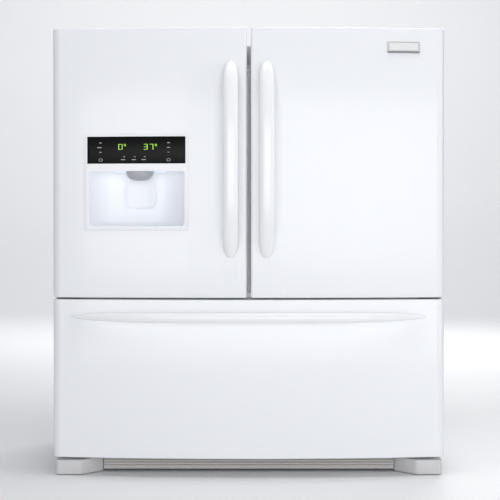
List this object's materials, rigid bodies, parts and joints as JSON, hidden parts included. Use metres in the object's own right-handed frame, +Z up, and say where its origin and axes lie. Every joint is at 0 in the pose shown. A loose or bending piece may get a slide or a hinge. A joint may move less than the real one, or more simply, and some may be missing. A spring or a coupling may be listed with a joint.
{
  "type": "french door refrigerator",
  "caption": "White french door refrigerator: bowed side-hinged upper doors, ice and water dispenser, and a pull-out freezer drawer below.",
  "frame": {"origin": "on the floor under the middle of the outline, seen from above", "axes": "+Z up, -Y the front with the doors, +X to the right seen from the front"},
  "size_m": [1.19, 0.8697, 1.356],
  "materials": {
    "white_enamel": "satin",
    "white_moulding": "satin",
    "liner_plastic": "satin",
    "clear_plastic": "gloss",
    "shelf_glass": "gloss",
    "gasket_rubber": "matte",
    "black_rubber": "matte",
    "zinc_steel": "satin",
    "grey_moulding": "satin",
    "pale_grey_moulding": "satin",
    "black_panel": "gloss",
    "badge_silver": "satin",
    "black_enamel": "satin",
    "black_moulding": "satin",
    "insulation_foam": "matte",
    "finned_aluminium": "satin",
    "coated_wire": "satin"
  },
  "bodies": {
    "cabinet": {"base_frame": "zinc_steel", "cabinet_back": "zinc_steel", "cabinet_foam": "insulation_foam", "cabinet_wrapper": "white_enamel", "center_hinge_left": "zinc_steel", "center_hinge_right": "zinc_steel", "compressor": "black_enamel", "condenser": "finned_aluminium", "crisper_shelf": "shelf_glass", "evaporator": "finned_aluminium", "evaporator_cover": "liner_plastic", "freezer_liner": "liner_plastic", "fridge_liner": "liner_plastic", "hinge_cover_left": "white_moulding", "hinge_cover_right": "white_moulding", "ice_maker": "liner_plastic", "leg_cover_left": "pale_grey_moulding", "leg_cover_right": "pale_grey_moulding", "machine_cover": "grey_moulding", "power_inlet": "black_moulding", "slide_rail_left": "zinc_steel", "slide_rail_right": "zinc_steel", "toe_grille": "grey_moulding", "top_hinge_left": "zinc_steel", "top_hinge_right": "zinc_steel", "upper_shelf": "shelf_glass"},
    "left_door": {"left_door_skin": "white_enamel", "left_door_liner": "liner_plastic", "left_door_gasket": "gasket_rubber", "left_handle": "white_moulding", "control_panel": "black_panel", "dispenser_housing": "white_moulding", "ice_nozzle": "grey_moulding", "left_door_bins": "clear_plastic"},
    "right_door": {"right_door_skin": "white_enamel", "right_door_liner": "liner_plastic", "right_door_gasket": "gasket_rubber", "right_handle": "white_moulding", "badge": "badge_silver", "right_door_bins": "clear_plastic"},
    "drawer": {"drawer_skin": "white_enamel", "drawer_liner": "liner_plastic", "drawer_gasket": "gasket_rubber", "drawer_handle": "white_moulding", "drawer_arm_left": "zinc_steel", "drawer_arm_right": "zinc_steel", "lower_basket": "coated_wire"},
    "freezer_upper_basket": {"upper_basket": "coated_wire"},
    "folding_mullion": {"mullion_flap": "white_moulding"},
    "paddle": {"dispenser_paddle": "pale_grey_moulding"},
    "dairy_door": {"dairy_lid": "clear_plastic"},
    "left_crisper": {"crisper_left": "clear_plastic"},
    "right_crisper": {"crisper_right": "clear_plastic"},
    "ice_bucket": {"ice_bin": "clear_plastic"},
    "freezer_fan": {"evaporator_fan": "white_moulding"},
    "cooling_fan": {"condenser_fan": "black_moulding"},
    "left_roller": {"rear_roller_left": "black_rubber"},
    "right_roller": {"rear_roller_right": "black_rubber"},
    "left_leg": {"leveling_leg_left": "zinc_steel"},
    "right_leg": {"leveling_leg_right": "zinc_steel"}
  },
  "joints": [
    {"name": "left_door_hinge", "type": "hinge", "parent": "cabinet", "child": "left_door", "pos_m": [-0.575, -0.285, 0.544], "axis": [0, 0, -1], "range_deg": [0, 120]},
    {"name": "right_door_hinge", "type": "hinge", "parent": "cabinet", "child": "right_door", "pos_m": [0.575, -0.285, 0.544], "axis": [0, 0, 1], "range_deg": [0, 120]},
    {"name": "freezer_drawer_slide", "type": "slide", "parent": "cabinet", "child": "drawer", "axis": [0, -1, 0], "range_m": [0, 0.36]},
    {"name": "upper_basket_slide", "type": "slide", "parent": "cabinet", "child": "freezer_upper_basket", "axis": [0, -1, 0], "range_m": [0, 0.2]},
    {"name": "mullion_hinge", "type": "hinge", "parent": "left_door", "child": "folding_mullion", "pos_m": [-0.06, -0.243, 0.6], "axis": [0, 0, 1], "range_deg": [0, 90]},
    {"name": "paddle_hinge", "type": "hinge", "parent": "left_door", "child": "paddle", "pos_m": [-0.332, -0.262, 0.9165], "axis": [1, 0, 0], "range_deg": [0, 10], "stiffness_Nm_per_rad": 0.3, "springref_deg": -11.46},
    {"name": "dairy_lid_hinge", "type": "hinge", "parent": "right_door", "child": "dairy_door", "pos_m": [0.293, -0.259, 1.1095], "axis": [1, 0, 0], "range_deg": [0, 80]},
    {"name": "left_crisper_slide", "type": "slide", "parent": "cabinet", "child": "left_crisper", "axis": [0, -1, 0], "range_m": [0, 0.048]},
    {"name": "right_crisper_slide", "type": "slide", "parent": "cabinet", "child": "right_crisper", "axis": [0, -1, 0], "range_m": [0, 0.048]},
    {"name": "ice_bin_slide", "type": "slide", "parent": "cabinet", "child": "ice_bucket", "axis": [0, -1, 0], "range_m": [0, 0.055]},
    {"name": "evaporator_fan_spin", "type": "hinge", "parent": "cabinet", "child": "freezer_fan", "pos_m": [0, 0.298, 0.4], "axis": [0, 1, 0], "continuous": true},
    {"name": "condenser_fan_spin", "type": "hinge", "parent": "cabinet", "child": "cooling_fan", "pos_m": [0.14, 0.33, 0.145], "axis": [1, 0, 0], "continuous": true},
    {"name": "left_roller_spin", "type": "hinge", "parent": "cabinet", "child": "left_roller", "pos_m": [-0.47, 0.33, 0.021], "axis": [1, 0, 0], "continuous": true},
    {"name": "right_roller_spin", "type": "hinge", "parent": "cabinet", "child": "right_roller", "pos_m": [0.47, 0.33, 0.021], "axis": [1, 0, 0], "continuous": true},
    {"name": "left_leg_screw", "type": "slide", "parent": "cabinet", "child": "left_leg", "axis": [0, 0, -1], "range_m": [0, 0.012]},
    {"name": "right_leg_screw", "type": "slide", "parent": "cabinet", "child": "right_leg", "axis": [0, 0, -1], "range_m": [0, 0.012]}
  ],
  "couplings": [
    {"joint": "mullion_hinge", "follows": "left_door_hinge", "ratio": 0.75},
    {"joint": "upper_basket_slide", "follows": "freezer_drawer_slide", "ratio": 0.55}
  ]
}
